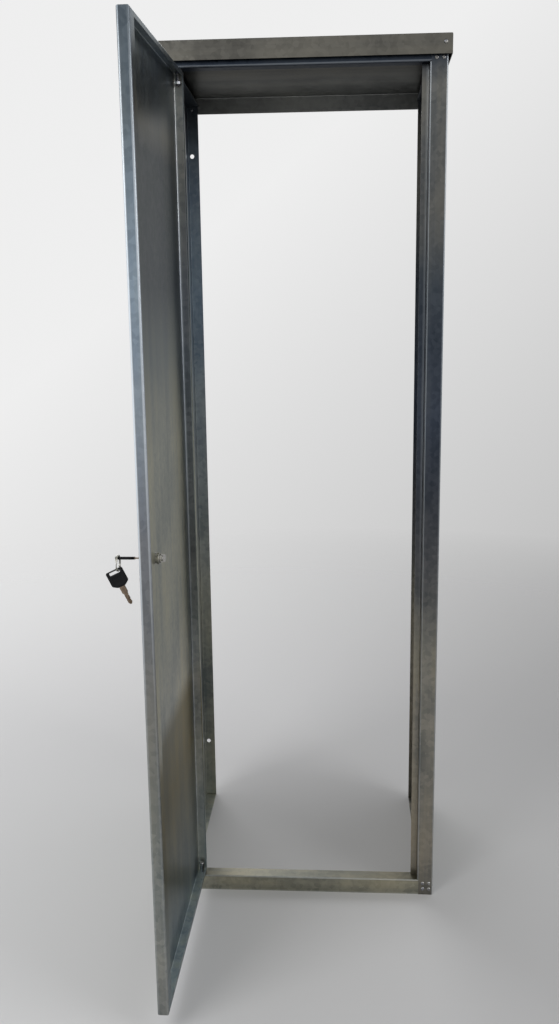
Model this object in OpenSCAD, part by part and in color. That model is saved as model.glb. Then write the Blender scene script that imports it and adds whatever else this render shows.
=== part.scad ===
// Gas bottle cabinet of folded galvanised sheet, with a sloping roof, an inset door and a cam lock.
// It has no floor and no back. The door side faces -Y and the cabinet stands on z = 0. It is drawn
// with the door open, one key in the lock and a spare key hanging from its ring.

/* [Cabinet] */
// Width over the two side panels
body_w = 460; // [400:5:600]
// Depth from the front posts to the rear flanges
body_d = 370; // [300:5:500]
// Height from the floor to the front edge of the roof
body_h = 1450; // [1000:10:1700]
// Thickness of all the sheet
sheet = 1.2; // [0.8:0.1:1.5]
// Inner radius of the bends
bend_r = 1.2; // [0.8:0.1:1.6]

/* [Side panels] */
// Width of the front posts
post_w = 28; // [24:1:40]
// Width of the stop lips behind the door's edges
lip_w = 10.5; // [8:0.5:14]
// Width of the flanges along the back
rear_flange_w = 22; // [20:1:40]
// Width of the flanges on the floor
foot_flange_w = 22; // [15:1:40]
// Width of the flanges under the roof
top_flange_w = 25; // [15:1:40]
// Height of the air gap between the side panels and the roof
vent_gap = 14; // [10:1:18]
// Diameter of the holes for wall screws
wall_hole_d = 8; // [5:0.5:10]
// Distance from the outside of a side panel to the wall holes
wall_hole_inset = 9; // [8:0.5:12]
// Height of the lower wall holes, and drop of the upper ones from the roof's front edge
wall_hole_end = 125; // [80:5:300]

/* [Rails] */
// Height of the bottom rail
rail_h = 28; // [26:1:40]
// Depth of both rails
rail_d = 25.5; // [24:0.5:32]
// Distance from the roof's front edge down to the top rail
head_drop = 39; // [37:1:60]
// Depth of the top rail's flange under the roof
head_flange_d = 20; // [18:1:26]

/* [Roof] */
// Depth of the skirts around the roof
roof_skirt = 30; // [26:1:32]
// Fall of the roof from front to back
roof_fall = 19; // [5:1:22]
// Overhang over the front posts
roof_front = 9; // [7:0.5:25]
// Overhang over the side panels
roof_side = 5.5; // [4:0.5:20]
// Length of the corner tabs behind the skirts
roof_tab = 22; // [20:1:30]
// Distance from the roof's sides to its front corner rivets
roof_rivet_inset = 10.5; // [9:0.5:16]
// Distance from the roof's upper edges down to its corner rivets
roof_rivet_drop = 13; // [12:0.5:16]

/* [Rivets] */
// Diameter of a rivet's head
rivet_head_d = 6.5; // [5:0.5:7]
// Height of a rivet's head
rivet_head_h = 1.5; // [1:0.1:2]
// Diameter of a rivet's shank
rivet_d = 3.2; // [2.4:0.2:4]
// Distance between neighbouring rivets at a corner
rivet_pitch = 11; // [9:0.5:12]
// Distance from the inner edge of a post to its first rivet
rivet_inset = 10; // [8:0.5:11]
// Distance from a rail's edge to its first rivets
rivet_drop = 6; // [5:0.5:8]

/* [Door] */
// Thickness of the door
door_t = 17; // [16:0.5:20]
// Gap beside the free edge of the door
gap_side = 2; // [1.5:0.25:4]
// Gap above and below the door, which a washer fills at each hinge
gap_end = 3; // [2:0.25:5]
// Distance from the hinge edge of the door to its axis
pivot_inset = 10; // [10:0.5:14]
// Width of the narrow flanges around the inside of the door
door_flange = 8; // [5:0.5:12]
// Width of the wide flange along the free side of the door
door_free_flange = 25; // [20:1:26]
// Room left around the hinge edge of the turning door
swing_gap = 0.4; // [0.3:0.1:2]

/* [Hinges] */
// Diameter of the lower hinge pin
pin_d = 6.5; // [5:0.5:7]
// Length of the lower hinge pin inside the door
pin_reach = 18; // [12:1:40]
// Diameter of the lower hinge pin's head
pin_head_d = 9; // [8:0.5:10]
// Height of the lower hinge pin's head
pin_head_t = 3; // [2:0.5:5]
// Diameter of the upper hinge bolt
bolt_d = 6; // [4:0.5:6]
// Length of the upper hinge bolt inside the door
bolt_reach = 20; // [12:1:40]
// Diameter of the washers
washer_d = 15; // [13:0.5:17]
// Thickness of the lower pin's foot
pin_foot_t = 2.5; // [1.5:0.25:4]
// Width across the flats of the upper bolt's head and nut
bolt_af = 9; // [8:0.5:9]
// Height of the upper bolt's head
bolt_head_t = 3.5; // [3:0.5:6]
// Height of the upper bolt's nut
bolt_nut_t = 4; // [3:0.5:6]

/* [Lock] */
// Height of the lock above the floor
lock_z = 715; // [500:5:900]
// Distance from the free edge of the door to the lock
lock_inset = 35; // [34:0.5:50]
// Diameter of the lock housing
lock_d = 16; // [15:0.5:17]
// Diameter of the flange outside the door
lock_flange_d = 21; // [19:0.5:24]
// Thickness of the flange outside the door
lock_flange_t = 2; // [1.5:0.25:3]
// Diameter of the turning plug
plug_d = 11; // [10.5:0.25:12]
// Width across the flats of the lock nut
lock_nut_af = 20; // [19:0.5:22]
// Thickness of the lock nut
lock_nut_t = 3.5; // [2:0.5:5]
// Overlap of the locked cam with the stop lip
cam_catch = 6.5; // [4:0.5:7]
// Width of the cam
cam_w = 13; // [11.5:0.5:15]
// Thickness of the cam
cam_t = 2; // [1.5:0.25:3]
// Side of the square on the plug that drives the cam
cam_square = 7; // [6:0.25:7.5]
// Diameter of the cam screw's head
screw_head_d = 8; // [7.5:0.25:10]
// Height of the cam screw's head
screw_head_t = 2.4; // [1.5:0.1:3]
// Diameter of the cam screw
screw_d = 4; // [3:0.25:4.5]

/* [Keys] */
// Width of a key's head
key_head_w = 25; // [24:0.5:28]
// Length of a key's head
key_head_l = 25.5; // [22:0.5:28]
// Thickness of a key's head
key_head_t = 4; // [3:0.1:4.5]
// Radius of the corners of a key's head
key_head_r = 2.5; // [1:0.25:3]
// Length of the sloping shoulders of a key's head
key_shoulder_l = 4.5; // [3:0.5:6]
// Width of the neck where the head meets the blade
key_neck_w = 11; // [10.5:0.5:14]
// Length of the blade outside the head
key_blade_l = 27.5; // [26:0.5:30]
// Width of the blade
key_blade_w = 5.75; // [5:0.25:6]
// Thickness of the blade
key_blade_t = 2; // [1.6:0.1:2.2]
// Width of the blade's collar, which stays outside the lock
key_collar_w = 8.25; // [7:0.25:9]
// Length of the blade's collar
key_collar_l = 10; // [8:0.5:11]
// Length of the slot across a key's head
key_slot_l = 17; // [15:0.25:18]
// Width of the slot across a key's head
key_slot_w = 4; // [3.6:0.1:4.4]
// Width of the head between its slot and its end
key_slot_edge = 2; // [1.5:0.25:3]
// Middle diameter of the key ring
ring_d = 21.4; // [19:0.2:24]
// Diameter of the key ring's wire
ring_wire = 1.5; // [1:0.1:1.6]
// Tilt of the spare key from straight down
spare_tilt = 26; // [15:1:30]

/* [Clearances] */
// Radial clearance around fixed shanks
fit = 0.05; // [0.02:0.01:0.1]
// Radial clearance around turning shafts
run_fit = 0.08; // [0.05:0.01:0.1]
// Clearance between loose pieces that rest on each other
loose = 0.3; // [0.2:0.05:0.5]

/* [Hidden] */
$fn = 48;

// Colours of the finishes
galvanised = "#8d908c";
galvanised_roof = "#7f817c";
zinc = "#b9bcc0";
nickel = "#a8a090";
black_plastic = "#1d1d1f";

// Small working lengths: a cut's overshoot and the relief left free beside a bend
over = 1;
relief = 1;
bend_steps = 4;

// Folded sheet
mid = sheet / 2;
bend_mid = bend_r + mid;
bend_out = bend_r + sheet;

// Plan of the frame
half_w = body_w / 2;
opening_x = half_w - post_w;
inner_x = half_w - sheet;
pivot_y = door_t / 2;
edge_reach = norm([pivot_inset - bend_out, pivot_y - bend_out]) + bend_out;
stop_d = pivot_y + edge_reach + swing_gap;
rail_half = inner_x - bend_r - relief / 2;
rail_back = sheet + rail_d;

// Heights of the door opening
head_z = body_h - head_drop;

// Roof: its top falls evenly from the front edge to the back
roof_back = body_d + sheet;
roof_len = roof_front + roof_back;
roof_half = half_w + roof_side;
roof_slope = atan(roof_fall / roof_len);
function roof_top(y) = body_h - (y + roof_front) * tan(roof_slope);
function roof_level(y, depth) = roof_top(y) - depth / cos(roof_slope);
function wall_top(y) = roof_level(y, sheet + vent_gap);

// Door, as it stands when closed. The gap beside its hinge edge lets the round corners turn.
door_x0 = -opening_x + edge_reach + swing_gap - pivot_inset;
door_x1 = opening_x - gap_side;
door_z0 = rail_h + gap_end;
door_z1 = head_z - gap_end;
pivot_x = door_x0 + pivot_inset;
pin_foot_r = pivot_y - 2 * sheet - bend_r - loose;

// The drawn place: how far the door is open and how far the key is turned. A point [x, y] of the
// closed door is then here:
rest_angle = 90.6;
key_turn = 14;
function opened(p) =
    let (x = p.x - pivot_x, y = p.y - pivot_y)
    [
        pivot_x + x * cos(rest_angle) + y * sin(rest_angle),
        pivot_y - x * sin(rest_angle) + y * cos(rest_angle)
    ];

// Lock, measured from the outer face of the closed door
lock_x = door_x1 - lock_inset;
cam_y = stop_d + sheet + loose;
cam_len = lock_inset + gap_side - lip_w + cam_catch;
key_out = key_collar_l + loose;
key_tip_y = key_blade_l - key_out - lock_flange_t;
key_tang = key_head_l / 2 - key_slot_w / 2;
plug_seat_y = key_tip_y + loose;

// Rivets
rivet_grip = 2 * sheet + fit;
rivet_bulb_d = rivet_head_d - 1.5;
rear_rivet_z = (roof_top(roof_back) - roof_skirt + wall_top(body_d)) / 2;
roof_rivet_z = body_h - roof_rivet_drop;

// Ring and spare key, measured on the closed door. The ring hangs over the rim beside the slot in
// the head of the turned key, where the rim's outer upper edge is highest.
ring_r = ring_d / 2;
ring_hole_r = ring_r - ring_wire / 2;
rim = (key_head_w - key_slot_l) / 2;
rim_side = rim / 2 * cos(key_turn) - key_head_t / 2 * sin(key_turn);
rim_top = key_head_w / 2 * sin(key_turn) + key_head_t / 2 * cos(key_turn);
slot_y = -lock_flange_t - key_out - key_head_l + key_slot_edge + key_slot_w / 2;
ring_x = lock_x + (key_head_w - rim) / 2 * cos(key_turn);
ring_z = lock_z + rim_top - sqrt(pow(ring_hole_r - loose, 2) - pow(rim_side, 2));
spare_slot_end = key_slot_l / 2 - key_slot_w / 2 - 2 * loose;

// Reach of the whole cabinet along x and y, which sets the origin halfway
spare_corner = [
    -key_head_w / 2 + key_head_r - spare_slot_end, key_slot_edge + key_slot_w / 2 - key_head_r
];
spare_reach = key_head_r - spare_corner.x * cos(spare_tilt) + spare_corner.y * sin(spare_tilt);
left_reach = opened([ring_x + key_head_t / 2, slot_y - spare_reach]).x;
origin_x = (left_reach + roof_half) / 2;
front_reach = opened([door_x1 - bend_out, door_t - bend_out]).y - bend_out;
back_reach = roof_back + rivet_head_h;
origin_y = (front_reach + back_reach) / 2;

// Outline of a folded sheet, from the line along its middle with round bends at its corners
function unit(v) = v / norm(v);
function left_of(v) = [-v.y, v.x];
function bend_side(a, b, c, side) =
    let (
        u = unit(b - a),
        v = unit(c - b),
        turn = sign(u.x * v.y - u.y * v.x),
        sweep = acos(u * v),
        start = atan2(u.y, u.x),
        centre = b + turn * bend_mid / cos(sweep / 2) * unit(left_of(u) + left_of(v)),
        radius = bend_mid - turn * side * mid
    )
    [
        for (i = [0:bend_steps])
            let (angle = start + turn * sweep * i / bend_steps)
            centre - turn * radius * left_of([cos(angle), sin(angle)])
    ];
function sheet_side(path, side) =
    let (last = len(path) - 1)
    [
        path[0] + side * mid * left_of(unit(path[1] - path[0])),
        for (i = [1:last - 1]) each bend_side(path[i - 1], path[i], path[i + 1], side),
        path[last] + side * mid * left_of(unit(path[last] - path[last - 1]))
    ];
function reversed(list) = [for (i = [len(list) - 1:-1:0]) list[i]];
function folded(path) = concat(sheet_side(path, 1), reversed(sheet_side(path, -1)));

// Outline of a polygon, drawn anticlockwise, with each corner rounded to its own radius
function rounded(points, radii) =
    let (count = len(points))
    [
        for (i = [0:count - 1])
            let (
                b = points[i],
                u = unit(b - points[(i + count - 1) % count]),
                v = unit(points[(i + 1) % count] - b),
                sweep = acos(u * v),
                start = atan2(u.y, u.x),
                centre = b + radii[i] / cos(sweep / 2) * unit(left_of(u) + left_of(v))
            )
            for (k = [0:radii[i] > 0 ? bend_steps : 0])
                let (angle = start + sweep * k / bend_steps)
                radii[i] > 0 ? centre - radii[i] * left_of([cos(angle), sin(angle)]) : b
    ];

// Extrudes an outline of [y, z] points along x, and one of [x, z] points along y
module along_x(x0, x1) {
    translate([x0, 0, 0]) rotate([90, 0, 90]) linear_extrude(x1 - x0) children();
}
module along_y(y0, y1) {
    translate([0, y1, 0]) rotate([90, 0, 0]) linear_extrude(y1 - y0) children();
}

// Puts cabinet pieces in the part's own frame, and pieces of the closed door in their open place
module in_frame() {
    translate([-origin_x, -origin_y, 0]) children();
}
module on_door() {
    in_frame() translate([pivot_x, pivot_y, 0]) rotate([0, 0, -rest_angle])
        translate([-pivot_x, -pivot_y, 0]) children();
}

// A blind rivet whose head stands on z = 0 and whose shank goes down through the sheets
module rivet() {
    dome_r = (pow(rivet_head_d / 2, 2) + pow(rivet_head_h, 2)) / (2 * rivet_head_h);
    dome_a = asin(rivet_head_d / 2 / dome_r);
    bulb_l = rivet_d * 0.7;
    rotate_extrude($fn = 24) polygon(concat(
        [[0, -rivet_grip - bulb_l], [rivet_bulb_d / 3, -rivet_grip - bulb_l]],
        [[rivet_bulb_d / 2, -rivet_grip - bulb_l / 2], [rivet_bulb_d / 2, -rivet_grip]],
        [[rivet_d / 2, -rivet_grip], [rivet_d / 2, 0]],
        [
            for (i = [0:4])
                let (a = dome_a * (1 - i / 4))
                [dome_r * sin(a), dome_r * cos(a) - dome_r + rivet_head_h]
        ]
    ));
}
module rivet_hole() {
    translate([0, 0, -3 * sheet]) cylinder(h = 6 * sheet, d = rivet_d + 2 * fit);
}

// Places children, whose z axis points out of the sheet, at every rivet of a group
module facing_front() {
    rotate([90, 0, 0]) children();
}
module facing_back() {
    rotate([-90, 0, 0]) children();
}
module at_corner_rivets(z_first, step) {
    for (side = [-1, 1], column = [0, 1], row = [0, 1])
        translate([
            side * (opening_x + rivet_inset + column * rivet_pitch), 0,
            z_first + row * step
        ]) facing_front() children();
}
module at_bottom_rivets() {
    at_corner_rivets(rail_h - rivet_drop, -rivet_pitch) children();
}
module at_top_rivets() {
    at_corner_rivets(head_z + rivet_drop, rivet_pitch) children();
}
module at_roof_corners() {
    for (side = [-1, 1]) {
        translate([side * (roof_half - roof_rivet_inset), -roof_front, roof_rivet_z])
            facing_front() children();
        translate([side * (roof_half - roof_tab + rivet_d), roof_back, roof_rivet_z - roof_fall])
            facing_back() children();
    }
}
module at_rear_fixings() {
    for (side = [-1, 1])
        translate([side * (half_w - rear_flange_w / 2), roof_back, rear_rivet_z])
            facing_back() children();
}
module at_head_fixings() {
    y = sheet + head_flange_d / 2 + bend_r;
    for (i = [-1:1])
        translate([i * rail_half * 2 / 3, y, roof_top(y)]) rotate([-roof_slope, 0, 0]) children();
}

// The right-hand side panel: stop lip, door return, post, wall and rear flange in one folded sheet,
// with a flange on the floor and one under the roof
module side_sheet() {
    wall_x = half_w - mid;
    return_x = opening_x + mid;
    plan = [
        [opening_x - lip_w, stop_d + mid], [return_x, stop_d + mid], [return_x, mid],
        [wall_x, mid], [wall_x, body_d - mid], [half_w - rear_flange_w, body_d - mid]
    ];
    foot_y = 2 * sheet + relief;
    top_y = rail_back + relief;
    back_y = body_d - bend_out - relief;
    leg = bend_out + 3 * relief;
    cut = bend_out + relief;
    elevation = [
        [-over, 0], [foot_y, 0], [foot_y, cut], [back_y, cut], [back_y, 0], [body_d + over, 0],
        [body_d + over, wall_top(body_d + over)], [back_y, wall_top(back_y)],
        [back_y, wall_top(back_y) - cut], [top_y, wall_top(top_y) - cut],
        [top_y, wall_top(top_y)], [-over, wall_top(-over)]
    ];
    difference() {
        union() {
            intersection() {
                linear_extrude(body_h) polygon(folded(plan));
                along_x(0, body_w) polygon(elevation);
            }
            along_y(foot_y, back_y)
                polygon(folded([[wall_x, leg], [wall_x, mid], [half_w - foot_flange_w, mid]]));
            translate([0, top_y, wall_top(top_y)]) rotate([-roof_slope, 0, 0])
                along_y(0, (back_y - top_y) / cos(roof_slope))
                    polygon(folded([[half_w - top_flange_w, -mid], [wall_x, -mid], [wall_x, -leg]]));
        }
        for (z = [[-over, rail_h], [head_z, body_h]])
            translate([opening_x - lip_w - over, -over, z[0]])
                cube([lip_w + over + bend_out, stop_d + sheet + 2 * over, z[1] - z[0]]);
        for (z = [wall_hole_end, body_h - wall_hole_end])
            translate([half_w - wall_hole_inset, body_d - sheet / 2, z])
                rotate([90, 0, 0]) cylinder(h = 2 * sheet, d = wall_hole_d, center = true);
        at_bottom_rivets() rivet_hole();
        at_top_rivets() rivet_hole();
        at_rear_fixings() rivet_hole();
    }
}
module right_side_panel() {
    color(galvanised) in_frame() side_sheet();
}
module left_side_panel() {
    color(galvanised) in_frame() mirror([1, 0, 0]) side_sheet();
}

// Rails between the side panels, behind the posts
module bottom_rail() {
    color(galvanised) in_frame() difference() {
        along_x(-rail_half, rail_half) polygon(folded([
            [sheet + mid, 0], [sheet + mid, rail_h - mid], [rail_back, rail_h - mid]
        ]));
        at_bottom_rivets() rivet_hole();
        translate([pivot_x, pivot_y, 0]) cylinder(h = rail_h + over, d = pin_d + 2 * fit);
    }
}
module top_rail() {
    face_y = sheet + mid;
    flange_y = sheet + head_flange_d;
    under = sheet + fit + mid;
    color(galvanised) in_frame() difference() {
        along_x(-rail_half, rail_half) polygon(folded([
            [rail_back, head_z + mid], [face_y, head_z + mid],
            [face_y, roof_level(face_y, under)], [flange_y, roof_level(flange_y, under)]
        ]));
        at_top_rivets() rivet_hole();
        at_head_fixings() rivet_hole();
        translate([pivot_x, pivot_y, head_z - over])
            cylinder(h = sheet + 2 * over, d = bolt_d + 2 * fit);
    }
}

// The roof is a tray. This is its outside, or its inside with the inset of one sheet.
module roof_shape(inset, drop) {
    r = bend_out - inset;
    y0 = -roof_front + inset;
    y1 = roof_back - inset;
    x1 = roof_half - inset;
    intersection() {
        along_x(-x1, x1) polygon(rounded(
            [
                [y0, body_h - roof_skirt - drop], [y1, roof_top(roof_back) - roof_skirt - drop],
                [y1, roof_level(y1, inset)], [y0, roof_level(y0, inset)]
            ],
            [0, 0, r, r]
        ));
        translate([0, -roof_front, body_h]) rotate([-roof_slope, 0, 0])
            along_y(-2 * roof_skirt, roof_len + 2 * roof_skirt) polygon(rounded(
                [[-x1, -3 * roof_skirt], [x1, -3 * roof_skirt], [x1, -inset], [-x1, -inset]],
                [0, 0, r, r]
            ));
    }
}
module roof_cap() {
    tab_h = roof_skirt - bend_out - 2 * relief;
    tabs = [
        [-roof_front + sheet, body_h - roof_skirt + relief],
        [roof_back - 2 * sheet, roof_top(roof_back) - roof_skirt + relief]
    ];
    color(galvanised_roof) in_frame() difference() {
        union() {
            difference() {
                roof_shape(0, 0);
                roof_shape(sheet, over);
            }
            translate([-roof_half + sheet / 2, tabs[0].x, tabs[0].y])
                cube([roof_tab, sheet, tab_h]);
            translate([roof_half - sheet / 2 - roof_tab, tabs[0].x, tabs[0].y])
                cube([roof_tab, sheet, tab_h]);
        }
        at_roof_corners() rivet_hole();
        at_rear_fixings() rivet_hole();
        at_head_fixings() rivet_hole();
    }
}

// Rivets
module bottom_corner_rivets() {
    color(zinc) in_frame() at_bottom_rivets() rivet();
}
module top_corner_rivets() {
    color(zinc) in_frame() at_top_rivets() rivet();
}
module roof_corner_rivets() {
    color(zinc) in_frame() at_roof_corners() rivet();
}
module roof_fixing_rivets() {
    color(zinc) in_frame() {
        at_rear_fixings() rivet();
        at_head_fixings() rivet();
    }
}

// Lower hinge: a pin with a domed head stands in the bottom rail and the door turns on it
module lower_hinge_pin() {
    foot_z = rail_h - sheet;
    top_z = door_z0 + sheet + pin_reach;
    head_r = pin_head_d / 2;
    color(zinc) in_frame() translate([pivot_x, pivot_y, 0]) rotate_extrude() polygon(concat(
        [[0, foot_z - pin_foot_t], [pin_foot_r, foot_z - pin_foot_t]],
        [[pin_foot_r, foot_z], [pin_d / 2, foot_z]],
        [[pin_d / 2, top_z - pin_head_t], [head_r, top_z - pin_head_t]],
        [for (a = [0:15:90]) [head_r * cos(a), top_z + pin_head_t / 2 * (sin(a) - 1)]]
    ));
}
module washer(hole_d) {
    linear_extrude(gap_end) difference() {
        circle(d = washer_d);
        circle(d = hole_d);
    }
}
module lower_hinge_washer() {
    color(zinc) in_frame() translate([pivot_x, pivot_y, rail_h]) washer(pin_d + 2 * fit);
}

// Upper hinge: a bolt hangs from the top rail through the door's top edge, with a nut near its end
module hexagon(flats) {
    circle(d = flats / cos(30), $fn = 6);
}
bolt_end_z = door_z1 - sheet - bolt_reach;
module upper_hinge_bolt() {
    color(zinc) in_frame() translate([pivot_x, pivot_y, 0]) {
        translate([0, 0, bolt_end_z]) cylinder(h = head_z + sheet - bolt_end_z, d = bolt_d);
        translate([0, 0, head_z + sheet]) linear_extrude(bolt_head_t) hexagon(bolt_af);
    }
}
module upper_hinge_nut() {
    color(zinc) in_frame() translate([pivot_x, pivot_y, bolt_end_z + 2 * relief])
        linear_extrude(bolt_nut_t) difference() {
            hexagon(bolt_af);
            circle(d = bolt_d + 2 * fit);
        }
}
module upper_hinge_washer() {
    color(zinc) in_frame() translate([pivot_x, pivot_y, door_z1]) washer(bolt_d + 2 * fit);
}

// The door is a pan: a flat skin with its four edges folded in and back. This is its outside, or
// its inside with the inset of one sheet.
module door_shape(inset) {
    r = bend_out - inset;
    x0 = door_x0 + inset;
    x1 = door_x1 - inset;
    y1 = door_t - inset;
    z0 = door_z0 + inset;
    z1 = door_z1 - inset;
    intersection() {
        translate([0, 0, z0]) linear_extrude(z1 - z0)
            polygon(rounded([[x0, inset], [x1, inset], [x1, y1], [x0, y1]], [r, r, r, r]));
        along_x(x0, x1)
            polygon(rounded([[inset, z0], [y1, z0], [y1, z1], [inset, z1]], [r, r, r, r]));
    }
}
module door_panel() {
    window_x = door_x0 + door_flange;
    window_w = door_x1 - door_free_flange - window_x;
    window_z = door_z0 + door_flange;
    window_h = door_z1 - door_flange - window_z;
    color(galvanised) on_door() difference() {
        door_shape(0);
        door_shape(sheet);
        translate([window_x, door_t - 2 * sheet, window_z])
            cube([window_w, 2 * sheet + over, window_h]);
        translate([pivot_x, pivot_y, door_z0 - over])
            cylinder(h = sheet + 2 * over, d = pin_d + 2 * run_fit);
        translate([pivot_x, pivot_y, door_z1 - sheet - over])
            cylinder(h = sheet + 2 * over, d = bolt_d + 2 * run_fit);
        at_lock() translate([0, 0, -2 * sheet]) cylinder(h = 4 * sheet, d = lock_d + 2 * fit);
    }
}

// Lock pieces are drawn along z, from the door's outer face at z = 0 towards the inside. The plug
// and what sits on it are turned with the key.
module at_lock() {
    translate([lock_x, 0, lock_z]) rotate([-90, 0, 0]) children();
}
module at_plug() {
    on_door() at_lock() rotate([0, 0, -key_turn]) children();
}
module lock_housing() {
    color(zinc) on_door() at_lock() difference() {
        union() {
            translate([0, 0, -lock_flange_t]) cylinder(h = lock_flange_t, d = lock_flange_d);
            cylinder(h = cam_y - loose, d = lock_d);
        }
        translate([0, 0, -lock_flange_t - over])
            cylinder(h = cam_y + lock_flange_t + over, d = plug_d + 2 * run_fit);
    }
}
module lock_nut() {
    color(zinc) on_door() at_lock() translate([0, 0, sheet]) linear_extrude(lock_nut_t)
        difference() {
            hexagon(lock_nut_af);
            circle(d = lock_d + 2 * fit);
        }
}
module lock_plug() {
    color(zinc) at_plug() difference() {
        union() {
            translate([0, 0, -lock_flange_t]) cylinder(h = lock_flange_t + cam_y, d = plug_d);
            translate([-cam_square / 2, -cam_square / 2, cam_y])
                cube([cam_square, cam_square, cam_t]);
        }
        translate([
            -key_blade_w / 2 - fit, -key_blade_t / 2 - fit, -lock_flange_t - over
        ]) cube([
            key_blade_w + 2 * fit, key_blade_t + 2 * fit, lock_flange_t + over + plug_seat_y
        ]);
        translate([0, 0, plug_seat_y + relief]) cylinder(h = cam_y + cam_t, d = screw_d + 2 * fit);
    }
}
module lock_cam() {
    tip_r = cam_w * 0.4;
    color(zinc) at_plug() translate([0, 0, cam_y]) linear_extrude(cam_t) difference() {
        union() {
            circle(d = cam_w);
            translate([-cam_len + tip_r, -tip_r]) square([cam_len - tip_r, 2 * tip_r]);
            translate([-cam_len + tip_r, 0]) circle(r = tip_r);
        }
        square(cam_square, center = true);
    }
}
module cam_screw() {
    color(zinc) at_plug() {
        translate([0, 0, plug_seat_y + relief + loose])
            cylinder(
                h = cam_y + cam_t + screw_head_t / 4 - plug_seat_y - relief - loose, d = screw_d
            );
        translate([0, 0, cam_y + cam_t]) difference() {
            cylinder(h = screw_head_t, d = screw_head_d);
            translate([-screw_head_d, -screw_d / 8, screw_head_t / 2])
                cube([2 * screw_head_d, screw_d / 4, screw_head_t]);
        }
    }
}

// A key lies in the x-y plane with its blade along +y. The middle of its slot is the origin.
slot_to_root = key_head_l - key_slot_edge - key_slot_w / 2;
module key_blade_shape() {
    tip_y = slot_to_root + key_blade_l;
    notch = key_blade_w / 6;
    translate([0, 0, -key_blade_t / 2]) linear_extrude(key_blade_t) difference() {
        union() {
            translate([-key_collar_w / 2, slot_to_root - key_tang])
                square([key_collar_w, key_tang + key_collar_l]);
            polygon([
                [-key_blade_w / 2, slot_to_root], [key_blade_w / 2, slot_to_root],
                [key_blade_w / 2, tip_y - key_blade_w / 2], [key_blade_w / 8, tip_y],
                [-key_blade_w / 8, tip_y], [-key_blade_w / 2, tip_y - key_blade_w / 2]
            ]);
        }
        for (i = [1:4])
            translate([key_blade_w / 2, tip_y - (i + 0.6) * key_blade_w / 2 - (i % 2) * notch / 2])
                polygon([[0, -notch], [0, notch], [-notch * (1 + i % 3) / 2.5, 0]]);
    }
}
module key_head_shape() {
    end_y = slot_to_root - key_head_l;
    shoulder_y = slot_to_root - key_shoulder_l;
    translate([0, 0, -key_head_t / 2]) difference() {
        linear_extrude(key_head_t) difference() {
            polygon(rounded(
                [
                    [-key_head_w / 2, end_y], [key_head_w / 2, end_y], [key_head_w / 2, shoulder_y],
                    [key_neck_w / 2, slot_to_root], [-key_neck_w / 2, slot_to_root],
                    [-key_head_w / 2, shoulder_y]
                ],
                [key_head_r, key_head_r, key_head_r, relief, relief, key_head_r]
            ));
            for (side = [-1, 1])
                translate([side * (key_slot_l - key_slot_w) / 2, 0]) circle(d = key_slot_w);
            square([key_slot_l - key_slot_w, key_slot_w], center = true);
        }
        translate([
            -key_collar_w / 2 - fit, slot_to_root - key_tang - fit,
            (key_head_t - key_blade_t) / 2 - fit
        ]) cube([key_collar_w + 2 * fit, key_tang + over, key_blade_t + 2 * fit]);
    }
}
module in_lock() {
    on_door() translate([lock_x, slot_y, lock_z]) rotate([0, -key_turn, 0]) children();
}
module on_ring() {
    on_door() translate([ring_x, slot_y, ring_z - ring_r]) rotate([0, -spare_tilt, 90])
        translate([-spare_slot_end, 0, 0]) rotate([-90, 0, 0]) children();
}
module key_blade() {
    color(nickel) in_lock() key_blade_shape();
}
module key_head() {
    color(black_plastic) in_lock() key_head_shape();
}
module spare_key_blade() {
    color(nickel) on_ring() key_blade_shape();
}
module spare_key_head() {
    color(black_plastic) on_ring() key_head_shape();
}

// The ring is two turns of wire side by side
module key_ring() {
    color(zinc) on_door() translate([ring_x, slot_y, ring_z]) rotate([90, 0, 0])
        rotate_extrude() translate([ring_r, 0]) {
            for (side = [-1, 1]) translate([0, side * ring_wire * 0.4]) circle(d = ring_wire, $fn = 16);
        }
}

left_side_panel();
right_side_panel();
bottom_rail();
top_rail();
roof_cap();
bottom_corner_rivets();
top_corner_rivets();
roof_corner_rivets();
roof_fixing_rivets();
lower_hinge_pin();
lower_hinge_washer();
upper_hinge_bolt();
upper_hinge_nut();
upper_hinge_washer();
door_panel();
lock_housing();
lock_nut();
lock_plug();
lock_cam();
cam_screw();
key_blade();
key_head();
key_ring();
spare_key_blade();
spare_key_head();
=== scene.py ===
"""A gas bottle cabinet of folded galvanised sheet with its door open, a key in the lock and a spare
key on the ring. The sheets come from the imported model, and the fittings are worked out here."""

import math

import bmesh
import bpy
import numpy as np
from mathutils import Matrix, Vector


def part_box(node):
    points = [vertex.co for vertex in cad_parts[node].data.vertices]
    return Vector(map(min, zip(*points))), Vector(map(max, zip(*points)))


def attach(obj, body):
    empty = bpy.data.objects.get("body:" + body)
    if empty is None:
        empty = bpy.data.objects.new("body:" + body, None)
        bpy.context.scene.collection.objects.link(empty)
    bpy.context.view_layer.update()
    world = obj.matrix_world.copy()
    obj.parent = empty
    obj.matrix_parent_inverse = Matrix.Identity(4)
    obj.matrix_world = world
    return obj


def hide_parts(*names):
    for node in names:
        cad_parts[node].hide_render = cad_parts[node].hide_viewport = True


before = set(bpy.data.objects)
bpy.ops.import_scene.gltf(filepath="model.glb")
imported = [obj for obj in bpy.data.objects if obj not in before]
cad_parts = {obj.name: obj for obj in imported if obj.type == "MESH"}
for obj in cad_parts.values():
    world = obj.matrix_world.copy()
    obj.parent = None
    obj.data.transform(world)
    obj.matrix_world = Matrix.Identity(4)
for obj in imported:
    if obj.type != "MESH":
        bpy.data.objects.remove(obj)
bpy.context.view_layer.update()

# Camera
# The photograph was taken from in front, a little to the right and from shoulder height, and looks
# down. Its place and turn were worked out from the cabinet's straight edges.
PHOTO_HEIGHT = 1024
FOCAL_PIXELS = 1041.26
SENSOR_MM = 36.0
EYE = np.array([0.08332, -1.70703, 1.06844])
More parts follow.
